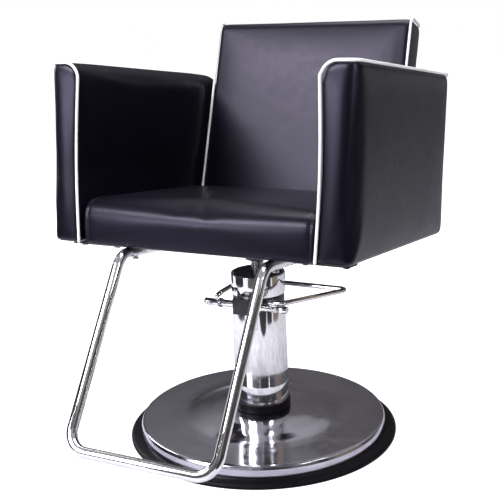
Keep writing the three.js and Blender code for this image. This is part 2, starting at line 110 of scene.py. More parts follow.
ROD_R = 5.5
LOOP_Z = SHAFT_Z + SHAFT_R + ROD_R + GAP
LOOP_R = 73
PLUNGER_X = 6
PLUNGER_Y = -42
SPRING_R = 8
SPRING_WIRE = 0.8
SPRING_TURNS = 6
TURN_STEPS = 24
SPRING_BOTTOM = 270.3
SPRING_TOP = 305.4
SHELL_R = 281.3
BASE_R = 305

# The studio's sizes are in metres
BOARD_TOP = 0.85
FLOOR_HALF = 14
FLOOR_GLOW = 0.93  # what the camera sees is lit to white

VOXEL = 6
SIM_FRAMES = 20
SIM_PRESSURE = 4.0
ARM_HOLD = 14  # how far from a seam the cover is held
BACK_HOLD = 16
SEAT_PUFF = 9  # the most that the pressure may move a point
ARM_PUFF = 4.5
BACK_PUFF = 8


def leaning():
    pivot = Matrix.Translation((0, 0, TILT_Z * MM))
    return pivot @ Matrix.Rotation(-TILT, 4, "X") @ pivot.inverted()


CHAIR = leaning()
BACK = CHAIR @ Matrix.Translation((0, BACK_Y * MM, BACK_Z * MM)) @ Matrix.Rotation(-RECLINE, 4, "X")


# Materials

class Nodes:
    """A material's node tree, with short calls for the nodes that these finishes use."""

    def __init__(self, name, color, roughness, metallic=0.0, **constants):
        self.material = bpy.data.materials.new(name)
        self.material.use_nodes = True
        self.tree = self.material.node_tree
        self.shader = self.tree.nodes["Principled BSDF"]
        self.color = color
        self.set(self.shader, {"Base Color": (*color, 1), "Roughness": roughness, "Metallic": metallic})
        self.set(self.shader, constants)
        self.place = self.tree.nodes.new("ShaderNodeTexCoord").outputs["Object"]
        self.normal = None

    @staticmethod
    def set(node, values):
        for socket, value in values.items():
            node.inputs[socket].default_value = value

    def node(self, kind, values=None, **settings):
        made = self.tree.nodes.new(kind)
        for key, value in settings.items():
            setattr(made, key, value)
        self.set(made, values or {})
        return made

    def link(self, output, socket):
        self.tree.links.new(output, socket)

    def noise(self, scale, detail=3.0, stretch=(1, 1, 1), distortion=0.0):
        mapping = self.node("ShaderNodeMapping", {"Scale": stretch})
        made = self.node("ShaderNodeTexNoise", {"Scale": scale, "Detail": detail, "Distortion": distortion})
        self.link(self.place, mapping.inputs["Vector"])
        self.link(mapping.outputs["Vector"], made.inputs["Vector"])
        return made.outputs["Fac"]

    def cells(self, scale, feature="F1"):
        made = self.node("ShaderNodeTexVoronoi", {"Scale": scale}, feature=feature)
        warp = self.node("ShaderNodeVectorMath", operation="ADD")
        bend = self.node("ShaderNodeTexNoise", {"Scale": scale * 0.45, "Detail": 2.0})
        shrink = self.node("ShaderNodeVectorMath", {"Scale": 0.6 / scale}, operation="SCALE")
        self.link(self.place, bend.inputs["Vector"])
        self.link(bend.outputs["Color"], shrink.inputs["Vector"])
        self.link(self.place, warp.inputs[0])
        self.link(shrink.outputs["Vector"], warp.inputs[1])
        self.link(warp.outputs["Vector"], made.inputs["Vector"])
        return made.outputs["Distance"]

    def spread(self, fac, low, high, from_low=0.3, from_high=0.7):
        made = self.node("ShaderNodeMapRange", {
            "From Min": from_low, "From Max": from_high, "To Min": low, "To Max": high,
        })
        self.link(fac, made.inputs["Value"])
        return made.outputs["Result"]

    def tint(self, fac, dark, light):
        made = self.node("ShaderNodeMix", data_type="RGBA")
        made.inputs["A"].default_value = (*dark, 1)
        made.inputs["B"].default_value = (*light, 1)
        self.link(self.spread(fac, 0, 1), made.inputs["Factor"])
        self.link(made.outputs["Result"], self.shader.inputs["Base Color"])

    def rough(self, fac, low, high):
        self.link(self.spread(fac, low, high), self.shader.inputs["Roughness"])

    def bump(self, height, strength, distance):
        made = self.node("ShaderNodeBump", {"Strength": strength, "Distance": distance})
        self.link(height, made.inputs["Height"])
        if self.normal:
            self.link(self.normal, made.inputs["Normal"])
        self.normal = made.outputs["Normal"]
        self.link(self.normal, self.shader.inputs["Normal"])


def scaled(color, factor):
    return tuple(channel * factor for channel in color)


def leather(name, color, roughness, grain, wrinkle, **constants):
    made = Nodes(name, color, roughness, **constants)
    made.tint(made.noise(9, 4), scaled(color, 0.85), scaled(color, 1.15))
    made.rough(made.noise(60, 5), roughness - 0.02, roughness + 0.03)
    made.bump(made.noise(14, 2), 0.5, wrinkle)
    made.bump(made.cells(620), 0.55, grain)
    made.bump(made.noise(1500, 2), 0.3, grain * 0.6)
    return made.material


def chrome(name, color=(0.84, 0.845, 0.86), roughness=0.05, ripple=0.00003, streak=(1, 1, 1)):
    made = Nodes(name, color, roughness, 1.0)
    made.tint(made.noise(18, 5, streak), scaled(color, 0.93), scaled(color, 1.04))
    made.rough(made.noise(45, 6, streak), roughness * 0.6, roughness * 1.9)
    made.bump(made.noise(30, 2, streak), 0.6, ripple)
    made.bump(made.noise(900, 3, (1, 1, 0.05)), 0.12, 0.000008)
    return made.material


def metal(name, color, roughness, metallic, wear, pits, pit_scale=600, **constants):
    made = Nodes(name, color, roughness, metallic, **constants)
    made.tint(made.noise(60, 6), scaled(color, 1 - wear), scaled(color, 1 + wear))
    made.rough(made.noise(110, 5), roughness - 0.08, roughness + 0.12)
    made.bump(made.noise(pit_scale, 5), 0.5, pits)
    return made.material


def plywood(name, color):
    made = Nodes(name, color, 0.72)
    grain = made.noise(40, 8, (1, 14, 14), 1.2)
    made.tint(grain, scaled(color, 0.62), scaled(color, 1.18))
    made.rough(grain, 0.62, 0.82)
    made.bump(grain, 0.5, 0.0003)
    return made.material


LEATHER = leather("black_leather", (0.0035, 0.0028, 0.0065), 0.31, 0.00012, 0.0005, **{
    "Specular IOR Level": 0.28, "Specular Tint": (0.80, 0.76, 1.0, 1),
})
WHITE = leather("white_welt", (0.86, 0.86, 0.85), 0.42, 0.0001, 0.0002)
THREAD = metal("black_thread", (0.05, 0.047, 0.062), 0.55, 0.0, 0.3, 0.0001, 2500)
CHROME = chrome("chrome")
CONE_CHROME = chrome("cone_chrome", ripple=0.0005, roughness=0.07, streak=(1, 1, 0.55))
# Painted shade and painted reflection: the dish's chrome is a darker, bluer copy of the other chrome, which
# paints in the dim, bluish look that the dish's reflections have
DISH_CHROME_PAINTED_SHADE = chrome("dish_chrome_painted_shade", (0.68, 0.66, 0.75), 0.09, 0.00004)
STEEL = metal("ground_steel", (0.36, 0.36, 0.38), 0.24, 1.0, 0.12, 0.00003, 900)
ZINC = metal("zinc_plate", (0.62, 0.62, 0.63), 0.3, 1.0, 0.15, 0.00004, 500)
IRON = metal("black_enamel", (0.012, 0.012, 0.014), 0.36, 0.0, 0.3, 0.0002, 260)
PAINT = metal("black_powder_coat", (0.014, 0.014, 0.015), 0.5, 0.0, 0.25, 0.00012, 1100)
RUBBER = metal("black_rubber", (0.004, 0.0036, 0.0055), 0.42, 0.0, 0.35, 0.00008, 800, **{
    "Specular IOR Level": 0.12,
})
PLASTIC = metal("black_plastic", (0.013, 0.013, 0.015), 0.42, 0.0, 0.2, 0.00006, 1600)
PLYWOOD = plywood("plywood", (0.52, 0.37, 0.21))

FINISHES = {
    "chrome": CHROME, "bare_steel": STEEL, "fasteners": ZINC, "cast_iron": IRON, "black_paint": PAINT,
    "rubber": RUBBER, "plastic": PLASTIC, "wood": PLYWOOD, "leather": LEATHER, "piping": WHITE,
}
SLOT_OF = {row["node"]: row["material_slot"] for row in frame["record"]["subparts"]}
BODY_OF = {node: body for body, nodes in frame["record"]["behaviour"]["bodies"].items() for node in nodes}


# Meshes

def piece(name, vertices, faces, material, smooth=True):
    mesh = bpy.data.meshes.new(name)
    mesh.from_pydata([tuple(v) for v in vertices], [], faces)
    mesh.update()
    made = bpy.data.objects.new(name, mesh)
    bpy.context.scene.collection.objects.link(made)
    made.data.materials.append(material)
    if smooth:
        mesh.polygons.foreach_set("use_smooth", [True] * len(mesh.polygons))
    return made


def stand_for(made, *nodes):
    """The piece takes these nodes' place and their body."""
    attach(made, BODY_OF[nodes[0]])
    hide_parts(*nodes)
    return made


def go_with(made, node):
    """A piece that has no node of its own rides with a node's body."""
    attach(made, BODY_OF[node])
    return made


def by_angle(made, degrees=32):
    """Smooth shading, with the edges sharper than this kept crisp."""
    made.data.polygons.foreach_set("use_smooth", [True] * len(made.data.polygons))
    made.data.set_sharp_from_angle(angle=math.radians(degrees))
    return made


def apply_modifiers(made):
    shown = made.evaluated_get(bpy.context.evaluated_depsgraph_get())
    mesh = bpy.data.meshes.new_from_object(shown)
    made.modifiers.clear()
    made.data = mesh
    return made


def fillet(outline, radii, steps=5):
    """A closed outline of points with its corners rounded, each by its own radius."""
    rounded = []
    count = len(outline)
    for i, radius in enumerate(radii):
        corner = Vector(outline[i])
        before = Vector(outline[i - 1]) - corner
        after = Vector(outline[(i + 1) % count]) - corner
        if radius <= 0:
            rounded.append(corner)
            continue
        half = before.angle(after) / 2
        reach = min(radius / math.tan(half), before.length * 0.49, after.length * 0.49)
        start = corner + before.normalized() * reach
        end = corner + after.normalized() * reach
        bisector = (before.normalized() + after.normalized()).normalized()
        middle = corner + bisector * (reach / math.cos(half))
        radius = reach * math.tan(half)
        for step in range(steps + 1):
            direction = (start - middle).normalized().slerp((end - middle).normalized(), step / steps)
            rounded.append(middle + direction * radius)
    return rounded


def turned(name, outline, radii, material, sides=192):
    """A ring turned about the column from a closed outline of (radius, height) points."""
    rounded = fillet(outline, radii)
    vertices = []
    faces = []
    count = len(rounded)
    for side in range(sides):
        angle = 2 * math.pi * side / sides
        vertices += [(p.x * math.cos(angle) * MM, p.x * math.sin(angle) * MM, p.y * MM) for p in rounded]
        here = side * count
        there = (side + 1) % sides * count
        faces += [(here + i, there + i, there + (i + 1) % count, here + (i + 1) % count)
                  for i in range(count)]
    return by_angle(piece(name, vertices, faces, material), 50)


def bent_path(corners, radii, step=3.0):
    """Points in millimetres along straight runs and round bends."""
    corners = [Vector(c) for c in corners]
    points = [corners[0]]
    for before, corner, after, radius in zip(corners, corners[1:], corners[2:], radii):
        to_before = (before - corner).normalized()
        to_after = (after - corner).normalized()
        half = to_before.angle(to_after) / 2
        centre = corner + (to_before + to_after).normalized() * (radius / math.sin(half))
        start = corner + to_before * (radius / math.tan(half)) - centre
        end = corner + to_after * (radius / math.tan(half)) - centre
        steps = max(4, int(start.angle(end) * radius / step))
        turn = [start.normalized().slerp(end.normalized(), i / steps) for i in range(steps + 1)]
        points += [centre + direction * radius for direction in turn]
    points.append(corners[-1])
    return points


def spaced(points, step):
    """The same line with points evenly along it."""
    spots = np.array(points, float)
    lengths = np.r_[0, np.cumsum(np.linalg.norm(np.diff(spots, axis=0), axis=1))]
    count = max(2, int(lengths[-1] / step) + 1)
    along = np.linspace(0, lengths[-1], count)
    return np.stack([np.interp(along, lengths, spots[:, k]) for k in range(3)], 1)


def swept(name, points, radius, material, sides=24, place=None, cap=0.25):
    """A rod of one radius along points in millimetres, with its end edges rounded."""
    spots = [Vector(p) for p in points]
    tangents = []
    for i in range(len(spots)):
        ahead = spots[min(i + 1, len(spots) - 1)]
        behind = spots[max(i - 1, 0)]
        tangents.append((ahead - behind).normalized())
    spare = Vector((0, 0, 1)) if abs(tangents[0].z) < 0.9 else Vector((0, 1, 0))
    normal = tangents[0].cross(spare).normalized()
    rings = []
    for spot, tangent in zip(spots, tangents):
        normal = (normal - tangent * normal.dot(tangent)).normalized()
        rings.append((spot, normal, tangent.cross(normal), radius))
    first = rounded_end(rings, tangents[0], cap)
    last = rounded_end(rings[::-1], -tangents[-1], cap)[::-1]
    rings = first + rings[1:-1] + last
    vertices = []
    for spot, across, up, size in rings:
        for side in range(sides):
            angle = 2 * math.pi * side / sides
            vertices.append((spot + (across * math.cos(angle) + up * math.sin(angle)) * size) * MM)
    faces = []
    for i in range(len(rings) - 1):
        for side in range(sides):
            after = (side + 1) % sides
            here, there = i * sides, (i + 1) * sides
            faces.append((here + side, here + after, there + after, there + side))
    end = (len(rings) - 1) * sides
    faces.append(tuple(reversed(range(sides))))
    faces.append(tuple(range(end, end + sides)))
    made = by_angle(piece(name, vertices, faces, material), 60)
    if place is not None:
        made.data.transform(place)
    return made


def rounded_end(rings, tangent, cap):
    """The first ring twice: a little smaller at the very end, and full size just inside it."""
    spot, across, up, radius = rings[0]
    chamfer = radius * cap
    return [(spot, across, up, radius - chamfer), (spot + tangent * chamfer, across, up, radius)]


def softened(node, width=0.6, segments=2):
    """A finer copy of a CAD node, with its edges rounded over."""
    source = frame["nodes"][node]
    made = bpy.data.objects.new(node + "_fine", source.data.copy())
    bpy.context.scene.collection.objects.link(made)
    made.data.materials.clear()
    made.data.materials.append(FINISHES[SLOT_OF[node]])
    mesh = bmesh.new()
    mesh.from_mesh(made.data)
    bmesh.ops.remove_doubles(mesh, verts=mesh.verts, dist=0.00001)
    bmesh.ops.dissolve_limit(mesh, angle_limit=math.radians(1), verts=mesh.verts, edges=mesh.edges)
    mesh.to_mesh(made.data)
    mesh.free()
    rounding = made.modifiers.new("edges", "BEVEL")
    rounding.width = width * MM
    rounding.segments = segments
    rounding.limit_method = "ANGLE"
    rounding.angle_limit = math.radians(35)
    apply_modifiers(made)
    by_angle(made)
    return stand_for(made, node)


# Padded pieces

def soft_block(name, outline, radii, low, high, edge, along):
    """A closed block: a rounded outline made as deep as low to high along an axis, its end edges rounded."""
    rounded = fillet(outline, radii, 6)
    mesh = bmesh.new()
    ends = []
    for depth in (low, high):
        points = [(depth, p.x, p.y) if along == "X" else (p.x, depth, p.y) for p in rounded]
        ends.append([mesh.verts.new(Vector(p) * MM) for p in points])
    mesh.faces.new(ends[0])
    mesh.faces.new(ends[1])
    count = len(rounded)
    for i in range(count):
        after = (i + 1) % count
        mesh.faces.new((ends[0][i], ends[0][after], ends[1][after], ends[1][i]))
    bmesh.ops.recalc_face_normals(mesh, faces=mesh.faces)
    if edge > 0:
        rims = [e for e in mesh.edges if (e.verts[0] in ends[0]) == (e.verts[1] in ends[0])]
        bmesh.ops.bevel(mesh, geom=rims, offset=edge * MM, segments=4, profile=0.5, affect="EDGES")
    data = bpy.data.meshes.new(name)
    mesh.to_mesh(data)
    mesh.free()
    made = bpy.data.objects.new(name, data)
    bpy.context.scene.collection.objects.link(made)
    remesh = made.modifiers.new("even", "REMESH")
    remesh.mode = "VOXEL"
    remesh.voxel_size = VOXEL * MM
    apply_modifiers(made)
    relax = made.modifiers.new("relax", "SMOOTH")
    relax.factor = 0.5
    relax.iterations = 3
    return apply_modifiers(made)


def points_of(made):
    points = np.zeros(len(made.data.vertices) * 3)
    made.data.vertices.foreach_get("co", points)
    return points.reshape(-1, 3) / MM


def put_points(made, points):
    made.data.vertices.foreach_set("co", (points * MM).ravel())
    made.data.update()


def inflate(made, held, cap):
    """Cloth under pressure puffs the cover out. held is 1 where a seam or board holds it, and cap is the most
    that a point may move, in millimetres."""
    rest = points_of(made)
    moved = simulated(made, held)
    move = moved - rest
    length = np.maximum(np.linalg.norm(move, axis=1), 1e-6)
    limit = np.maximum(cap * (1 - held), 1e-6)
    put_points(made, rest + move * (limit * np.tanh(length / limit) / length)[:, None])
    relax = made.modifiers.new("relax", "SMOOTH")
    relax.factor = 0.5
    relax.iterations = 8
    return apply_modifiers(made)


def round_corner(points, axes, corner, radius):
    """Turns a square edge of a block into a round one. axes are the two that the edge runs across, corner is
    where it was, and the sign of radius on each of them points into the block."""
    flat = points[:, axes]
    inward = np.array(radius, float)
    size = np.abs(inward).max()
    centre = np.array(corner) + np.sign(inward) * size
    offset = flat - centre
    near = ((offset * np.sign(inward)) < 0).all(axis=1)
    reach = np.linalg.norm(offset, axis=1)
    square = np.abs(offset).max(axis=1)
    factor = np.where(near, square / np.maximum(reach, 1e-6), 1)
    points[:, axes] = centre + offset * factor[:, None]
    return points


def simulated(made, held):
    group = made.vertex_groups.new(name="held")
    for index, weight in enumerate(held):
        if weight > 0.02:
            group.add([index], float(weight), "REPLACE")
    cloth = made.modifiers.new("cloth", "CLOTH")
    settings = cloth.settings
    settings.vertex_group_mass = "held"
    settings.use_pressure = True
    settings.uniform_pressure_force = SIM_PRESSURE
    settings.quality = 5
    settings.mass = 0.4
    settings.tension_stiffness = 40
    settings.compression_stiffness = 40
    settings.shear_stiffness = 20
    settings.bending_stiffness = 2
    settings.effector_weights.gravity = 0
    cloth.point_cache.frame_start = 1
    cloth.point_cache.frame_end = SIM_FRAMES
    scene = bpy.context.scene
    for step in range(1, SIM_FRAMES + 1):
        scene.frame_set(step)
    shown = made.evaluated_get(bpy.context.evaluated_depsgraph_get())
    result = np.zeros(len(shown.data.vertices) * 3)
    shown.data.vertices.foreach_get("co", result)
    made.modifiers.clear()
    made.vertex_groups.clear()
    scene.frame_set(1)
    return result.reshape(-1, 3) / MM


def normals_of(made):
    values = np.zeros(len(made.data.vertices) * 3)
    made.data.vertices.foreach_get("normal", values)
    return values.reshape(-1, 3)


def refine(made):
    split = made.modifiers.new("fine", "SUBSURF")
    split.levels = 1
    split.render_levels = 1
    apply_modifiers(made)
    made.data.polygons.foreach_set("use_smooth", [True] * len(made.data.polygons))
    return made


def smoothstep(low, high, value):
    t = np.clip((value - low) / (high - low), 0, 1)
    return t * t * (3 - 2 * t)


def bell(distance, width):
    return np.exp(-((distance / width) ** 2))


def waves(points, seed, size, amount):
    """Soft unevenness: a few sine waves in fixed random directions, in millimetres."""
    draw = np.random.default_rng(seed)
    total = np.zeros(len(points))
    for _ in range(9):
        direction = draw.normal(size=3)
        direction /= np.linalg.norm(direction)
        length = size * draw.uniform(0.7, 1.6)
        total += np.sin(points @ direction * 2 * math.pi / length + draw.uniform(0, 6.3))
    return total / 3 * amount


def finish_cover(made, node):
    made.data.materials.clear()
    made.data.materials.append(LEATHER)
    stand_for(made, node)
    return made


def stitches(name, lines, place, length=3.4, gap=2.2, thick=0.55, lift=0.1):
    """Short thread stitches along lines of surface points, as one piece."""
    mesh = bmesh.new()
    for line in lines:
        spots = spaced(line, length + gap)
        for start, end in zip(spots, spots[1:]):
            along = Vector(end - start)
            if along.length < 1:
                continue
            turn = along.to_track_quat("X", "Z").to_matrix().to_4x4()
            size = Matrix.Diagonal((length / 2, thick, thick, 1))
            middle = Matrix.Translation(Vector(start) + along / 2 + Vector((0, 0, lift)))
            bmesh.ops.create_uvsphere(mesh, u_segments=8, v_segments=6, radius=1, matrix=middle @ turn @ size)
    data = bpy.data.meshes.new(name)
    mesh.to_mesh(data)
    mesh.free()
    made = bpy.data.objects.new(name, data)
    bpy.context.scene.collection.objects.link(made)
    made.data.transform(place @ Matrix.Scale(MM, 4))
    made.data.materials.append(THREAD)
    made.data.polygons.foreach_set("use_smooth", [True] * len(made.data.polygons))
    return made


def on_surface(made, starts, toward):
    """Where lines from the starts, in millimetres, first meet the piece."""
    tree = BVHTree.FromObject(made, bpy.context.evaluated_depsgraph_get())
    met = []
    for start, direction in zip(starts, toward):
        hit, _, _, _ = tree.ray_cast(Vector(start) * MM, Vector(direction))
        if hit is not None:
            met.append(np.array(hit) / MM)
    return met


# Seat

def make_seat():
    outline = [
        (SEAT_FRONT, SEAT_BOTTOM), (SEAT_REAR_LOW, SEAT_BOTTOM),
        (SEAT_REAR_TOP, SEAT_TOP), (SEAT_FRONT, SEAT_TOP),
    ]
    made = soft_block("seat", outline, [10, 4, 14, SEAT_ROLL], -SEAT_HALF, SEAT_HALF, 9, "X")
    points = points_of(made)
    x, y, z = points.T
    side = np.abs(x)
    held = np.maximum.reduce([
        bell(side - SEAT_SEAM, 7),
        smoothstep(SEAT_SEAM + 4, SEAT_HALF - 2, side),
        smoothstep(SEAT_BOTTOM + 14, SEAT_BOTTOM + 2, z),
        smoothstep(130, 165, y),
    ])
    inflate(made, held, SEAT_PUFF)
    refine(made)
    points = points_of(made)
    side = np.abs(points[:, 0])
    high = smoothstep(SEAT_BOTTOM + 30, SEAT_TOP, points[:, 2])
    crown = SEAT_CROWN * (1 - (points[:, 0] / SEAT_HALF) ** 2) * high
    groove = -GROOVE_DEPTH * bell(side - SEAT_SEAM, GROOVE_HALF)
    low = smoothstep(SEAT_BOTTOM + 40, SEAT_BOTTOM, points[:, 2])
    tuck = -SEAT_TUCK * smoothstep(SEAT_SEAM, SEAT_HALF, side) * low
    uneven = waves(points, 3, 170, 0.3) * (side < SEAT_SEAM - 8)
    put_points(made, points + normals_of(made) * (crown + groove + uneven)[:, None]
               + np.stack([np.sign(points[:, 0]) * tuck, 0 * side, 0 * side], 1))
    lines = []
    for sign in (-1, 1):
        across = sign * (SEAT_SEAM - STITCH_INSET)
        angles = np.radians(np.linspace(-25, 75, 120))
        centre = (across, -150, 470)
        toward = [(0, -math.cos(a), math.sin(a)) for a in angles]
        starts = [tuple(np.array(centre) + np.array(d) * 400) for d in toward]
        lines.append(on_surface(made, starts, [tuple(-c for c in d) for d in toward]))
        lines.append(on_surface(made, [(across, y, 700) for y in np.arange(-60, 165, 6)],
                                [(0, 0, -1)] * 40))
    made.data.transform(CHAIR)
    finish_cover(made, "seat_cushion")
    go_with(stitches("seat_stitching", lines, CHAIR), "seat_cushion")


# Arms

# The left arm's piped seam: up the front inner edge, over the front, and back along the outer top edge
ARM_SEAM = [
    (ARM_IN, ARM_FRONT, ARM_BOTTOM + 1), (ARM_IN, ARM_FRONT, ARM_TOP), (ARM_OUT, ARM_FRONT, ARM_TOP),
    (ARM_OUT, ARM_REAR - 24, ARM_TOP), (ARM_OUT - 2, ARM_REAR - 13, ARM_TOP - 3),
]


def arm_bow(z):
    share = np.clip((z - ARM_BOTTOM) / (ARM_TOP - ARM_ROUND - ARM_BOTTOM), 0, 1)
    return ARM_BOW * np.sin(math.pi * share)


def make_arm(side, sign):
    outline = [(ARM_IN, ARM_BOTTOM), (ARM_OUT, ARM_BOTTOM), (ARM_OUT, ARM_TOP), (ARM_IN, ARM_TOP)]
    made = soft_block("arm_" + side + "_cover", outline, [5, 9, 6, ARM_ROUND], ARM_FRONT, ARM_REAR, 5, "Y")
    points = points_of(made)
    x, y, z = points.T
    inner_edge = np.hypot(x - ARM_IN, y - ARM_FRONT)
    outer_edge = np.hypot(x - ARM_OUT, z - ARM_TOP)
    rear_edge = np.minimum(np.abs(x - ARM_IN), np.abs(x - ARM_OUT)) + np.abs(y - ARM_REAR)
    held = np.maximum.reduce([
        bell(inner_edge, ARM_HOLD), bell(outer_edge, ARM_HOLD), bell(rear_edge, ARM_HOLD),
        smoothstep(ARM_BOTTOM + 8, ARM_BOTTOM, z),
        smoothstep(ARM_IN + 6, ARM_IN, x) * smoothstep(640, 560, z),
        bell(y - ARM_FRONT, 6) * smoothstep(ARM_TOP - 14, ARM_TOP, z),
    ])
    round_corner(points, [0, 1], (ARM_OUT, ARM_FRONT), (-OUTER_ROUND, OUTER_ROUND))
    round_corner(points, [0, 1], (ARM_OUT, ARM_REAR), (-REAR_ROUND, -REAR_ROUND))
    round_corner(points, [0, 1], (ARM_IN, ARM_REAR), (REAR_INNER_ROUND, -REAR_INNER_ROUND))
    round_corner(points, [1, 2], (ARM_REAR, ARM_TOP), (-REAR_TOP_ROUND, -REAR_TOP_ROUND))
    put_points(made, points)
    inflate(made, held, ARM_PUFF)
    refine(made)
    points = points_of(made)
    x, y, z = points.T
    near_front = bell(np.hypot(x - ARM_IN, y - ARM_FRONT), 22)
    near_end = smoothstep(0, 40, np.minimum(z - ARM_BOTTOM, ARM_TOP - z))
    uneven = waves(points, 11 if sign > 0 else 12, 150, 0.4) * near_end
    shift = np.zeros_like(points)
    shift[:, 0] = arm_bow(z) * near_front
    put_points(made, points + shift + normals_of(made) * uneven[:, None])
    if sign < 0:
        made.data.transform(Matrix.Diagonal((-1, 1, 1, 1)))
        made.data.flip_normals()
    made.data.transform(CHAIR)
    finish_cover(made, "arm_" + side)

    line = spaced(bent_path(ARM_SEAM, [ARM_ROUND, OUTER_ROUND, ARM_WELT_END_R], WELT_STEP), 2 * WELT_STEP)
    on_edge = line[:, 0] < ARM_IN + 1
    line[on_edge, 0] += arm_bow(line[on_edge, 2])
    line[on_edge] += (-WELT_PROUD, -WELT_PROUD, 0)
    line[:, 0] *= sign
    stand_for(swept("arm_" + side + "_welt", line, PIPING_R, WHITE, 16, CHAIR, 0.5), "arm_piping_" + side)


# Back

def back_line(sign):
    corners = [
        (sign * BACK_HALF, 0, BACK_LOW + 1), (sign * BACK_HALF, 0, BACK_HIGH),
        (sign * BACK_HALF, BACK_T - 20, BACK_HIGH), (sign * (BACK_HALF - 2), BACK_T - 12, BACK_HIGH - 3),
    ]
    return spaced(bent_path(corners, [BACK_ROUND, BACK_WELT_END_R], WELT_STEP), 2 * WELT_STEP)


def make_back():
    outline = [(0, BACK_LOW), (BACK_T, BACK_LOW), (BACK_T, BACK_HIGH), (0, BACK_HIGH)]
    made = soft_block("back", outline, [6, 6, BACK_ROUND, BACK_ROUND], -BACK_HALF, BACK_HALF, 3, "X")
    points = points_of(made)
    x, y, z = points.T
    side = BACK_HALF - np.abs(x)
    seam = side + np.minimum(np.abs(y), np.minimum(np.abs(y - BACK_T), np.abs(z - BACK_HIGH)))
    held = np.maximum.reduce([
        bell(seam, BACK_HOLD), smoothstep(BACK_LOW + 8, BACK_LOW, z),
        0.9 * smoothstep(BACK_HIGH - 30, BACK_HIGH - 6, z),
    ])
    inflate(made, held, BACK_PUFF)
    refine(made)
    points = points_of(made)
    uneven = waves(points, 5, 190, 0.35) * smoothstep(0, 40, BACK_HALF - np.abs(points[:, 0]))
    put_points(made, points + normals_of(made) * uneven[:, None])
    made.data.transform(BACK)
    finish_cover(made, "back_cushion")
    for side_name, sign in (("left", 1), ("right", -1)):
        welt = swept("back_" + side_name + "_welt", back_line(sign), PIPING_R, WHITE, 16, BACK, 0.5)
        stand_for(welt, "back_piping_" + side_name)


# Column and base

def make_base():
    shell = [
        (SHELL_R, 6.9), (SHELL_R, 16), (281, 22), (279.9, 31), (276.5, 37.6), (268, 37.9), (205, 39.0),
        (176, 40.3), (148, 46.3), (108, 52.6), (62, 56.5), (62, 54.7), (108, 50.8), (148, 44.5),
        (176, 38.5), (268, 36), (275, 35.8), (278.2, 30), (279.5, 16), (279.5, 6.9),
    ]
    rounding = [0.5, 20, 30, 4, 4, 20, 400, 120, 160, 300, 0.8, 0.5, 300, 160, 120, 20, 4, 4, 20, 0.5]
    stand_for(turned("base_dish", shell, rounding, DISH_CHROME_PAINTED_SHADE, 256), "base_shell")
    ring = [(281.7, 0), (BASE_R - 0.5, 0), (BASE_R, 6), (300, 10.5), (288, 13.6), (281.7, 14.6)]
    stand_for(turned("base_rubber", ring, [0.5, 1.5, 2.5, 6, 4, 0.6], RUBBER, 256), "base_trim_ring")
    collar = [(62, 56.9), (64.6, 56.9), (64.6, 74), (62, 76)]
    stand_for(turned("collar_rubber", collar, [0.3, 1.2, 2, 0.5], RUBBER), "column_collar")


def make_column():
    sleeve = [(60, 14.6), (61.6, 14.6), (61.6, 119), (60, 119)]
    stand_for(turned("sleeve_chrome", sleeve, [0.3, 0.3, 0.8, 0.4], CHROME), "lower_sleeve")
    cone = [(60.2, 119.3), (61.8, 119.3), (60.7, 234), (59.5, 298), (57.9, 298), (59.1, 234)]
    stand_for(turned("cone_chrome_cover", cone, [0.3, 0.8, 300, 0.6, 0.3, 200], CONE_CHROME), "cone_cover")
    cap = [(58.85, 328), (60.45, 328), (60.45, 374.5), (55.5, 374.5), (55.5, 371.5), (58.85, 371.5)]
    stand_for(turned("cap_chrome", cap, [0.3, 0.5, 2.2, 0.6, 0.3, 0.3], CHROME), "pump_cap")
    insert = [(15.4, 368), (55.2, 368), (55.2, 372), (15.4, 372)]
    stand_for(turned("cap_disc", insert, [0.3, 0.3, 0.8, 1.2], PLASTIC), "cap_insert")
    rod = [(0.001, 56), (14, 56), (14, 424.2), (0.001, 424.2)]
    stand_for(turned("ram_rod", rod, [0, 1.2, 1.2, 0], STEEL, 96), "ram")


def make_footrest():
    corners = [
        (-FOOT_HALF, FOOT_REAR_Y, TUBE_Z), (-FOOT_HALF, FOOT_TOP_Y, TUBE_Z),
        (-FOOT_HALF, FOOT_LOW_Y, FOOT_LOW_Z), (FOOT_HALF, FOOT_LOW_Y, FOOT_LOW_Z),
        (FOOT_HALF, FOOT_TOP_Y, TUBE_Z), (FOOT_HALF, FOOT_REAR_Y, TUBE_Z),
    ]
    tube = swept("footrest_tube", bent_path(corners, [FOOT_BEND_R] * 4), TUBE_R, CHROME, 40, CHAIR, 0.08)
    stand_for(tube, "footrest")


def make_pedal():
    corners = [
        (-68, SHAFT_Y, LOOP_Z), (-LOOP_R, -40, LOOP_Z), (-LOOP_R, LOOP_R, LOOP_Z),
        (190, LOOP_R - 1, LOOP_Z), (92, SHAFT_Y, LOOP_Z), (58, SHAFT_Y, LOOP_Z),
    ]
    loop = swept("pedal_rod", bent_path(corners, [20, LOOP_R - 1, 11, 12], 2.0), ROD_R, CHROME, 28, None, 0.3)
    stand_for(loop, "pedal_loop")


def make_spring():
    """The plunger's return spring: a wire helix round the plunger, on a mesh of its own."""
    low, high = SPRING_BOTTOM + SPRING_WIRE, SPRING_TOP - SPRING_WIRE
    helix = []
    for step in range(TURN_STEPS * SPRING_TURNS + 1):
        angle = 2 * math.pi * step / TURN_STEPS
        height = low + (high - low) * step / (TURN_STEPS * SPRING_TURNS)
        helix.append((PLUNGER_X + SPRING_R * math.cos(angle), PLUNGER_Y + SPRING_R * math.sin(angle), height))
    made = swept("spring_wire", helix, SPRING_WIRE, STEEL, 10)
    stand_for(made, "plunger_spring")
    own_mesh(made)


# Studio

def light(name, place, target, size, power, color=(1, 1, 1)):
    data = bpy.data.lights.new(name, "AREA")
    data.shape = "RECTANGLE"
    data.size, data.size_y = size
    data.energy = power
    data.color = color
    made = bpy.data.objects.new(name, data)
    made.location = place
    made.rotation_euler = (Vector(target) - Vector(place)).to_track_quat("-Z", "Y").to_euler()
    bpy.context.scene.collection.objects.link(made)


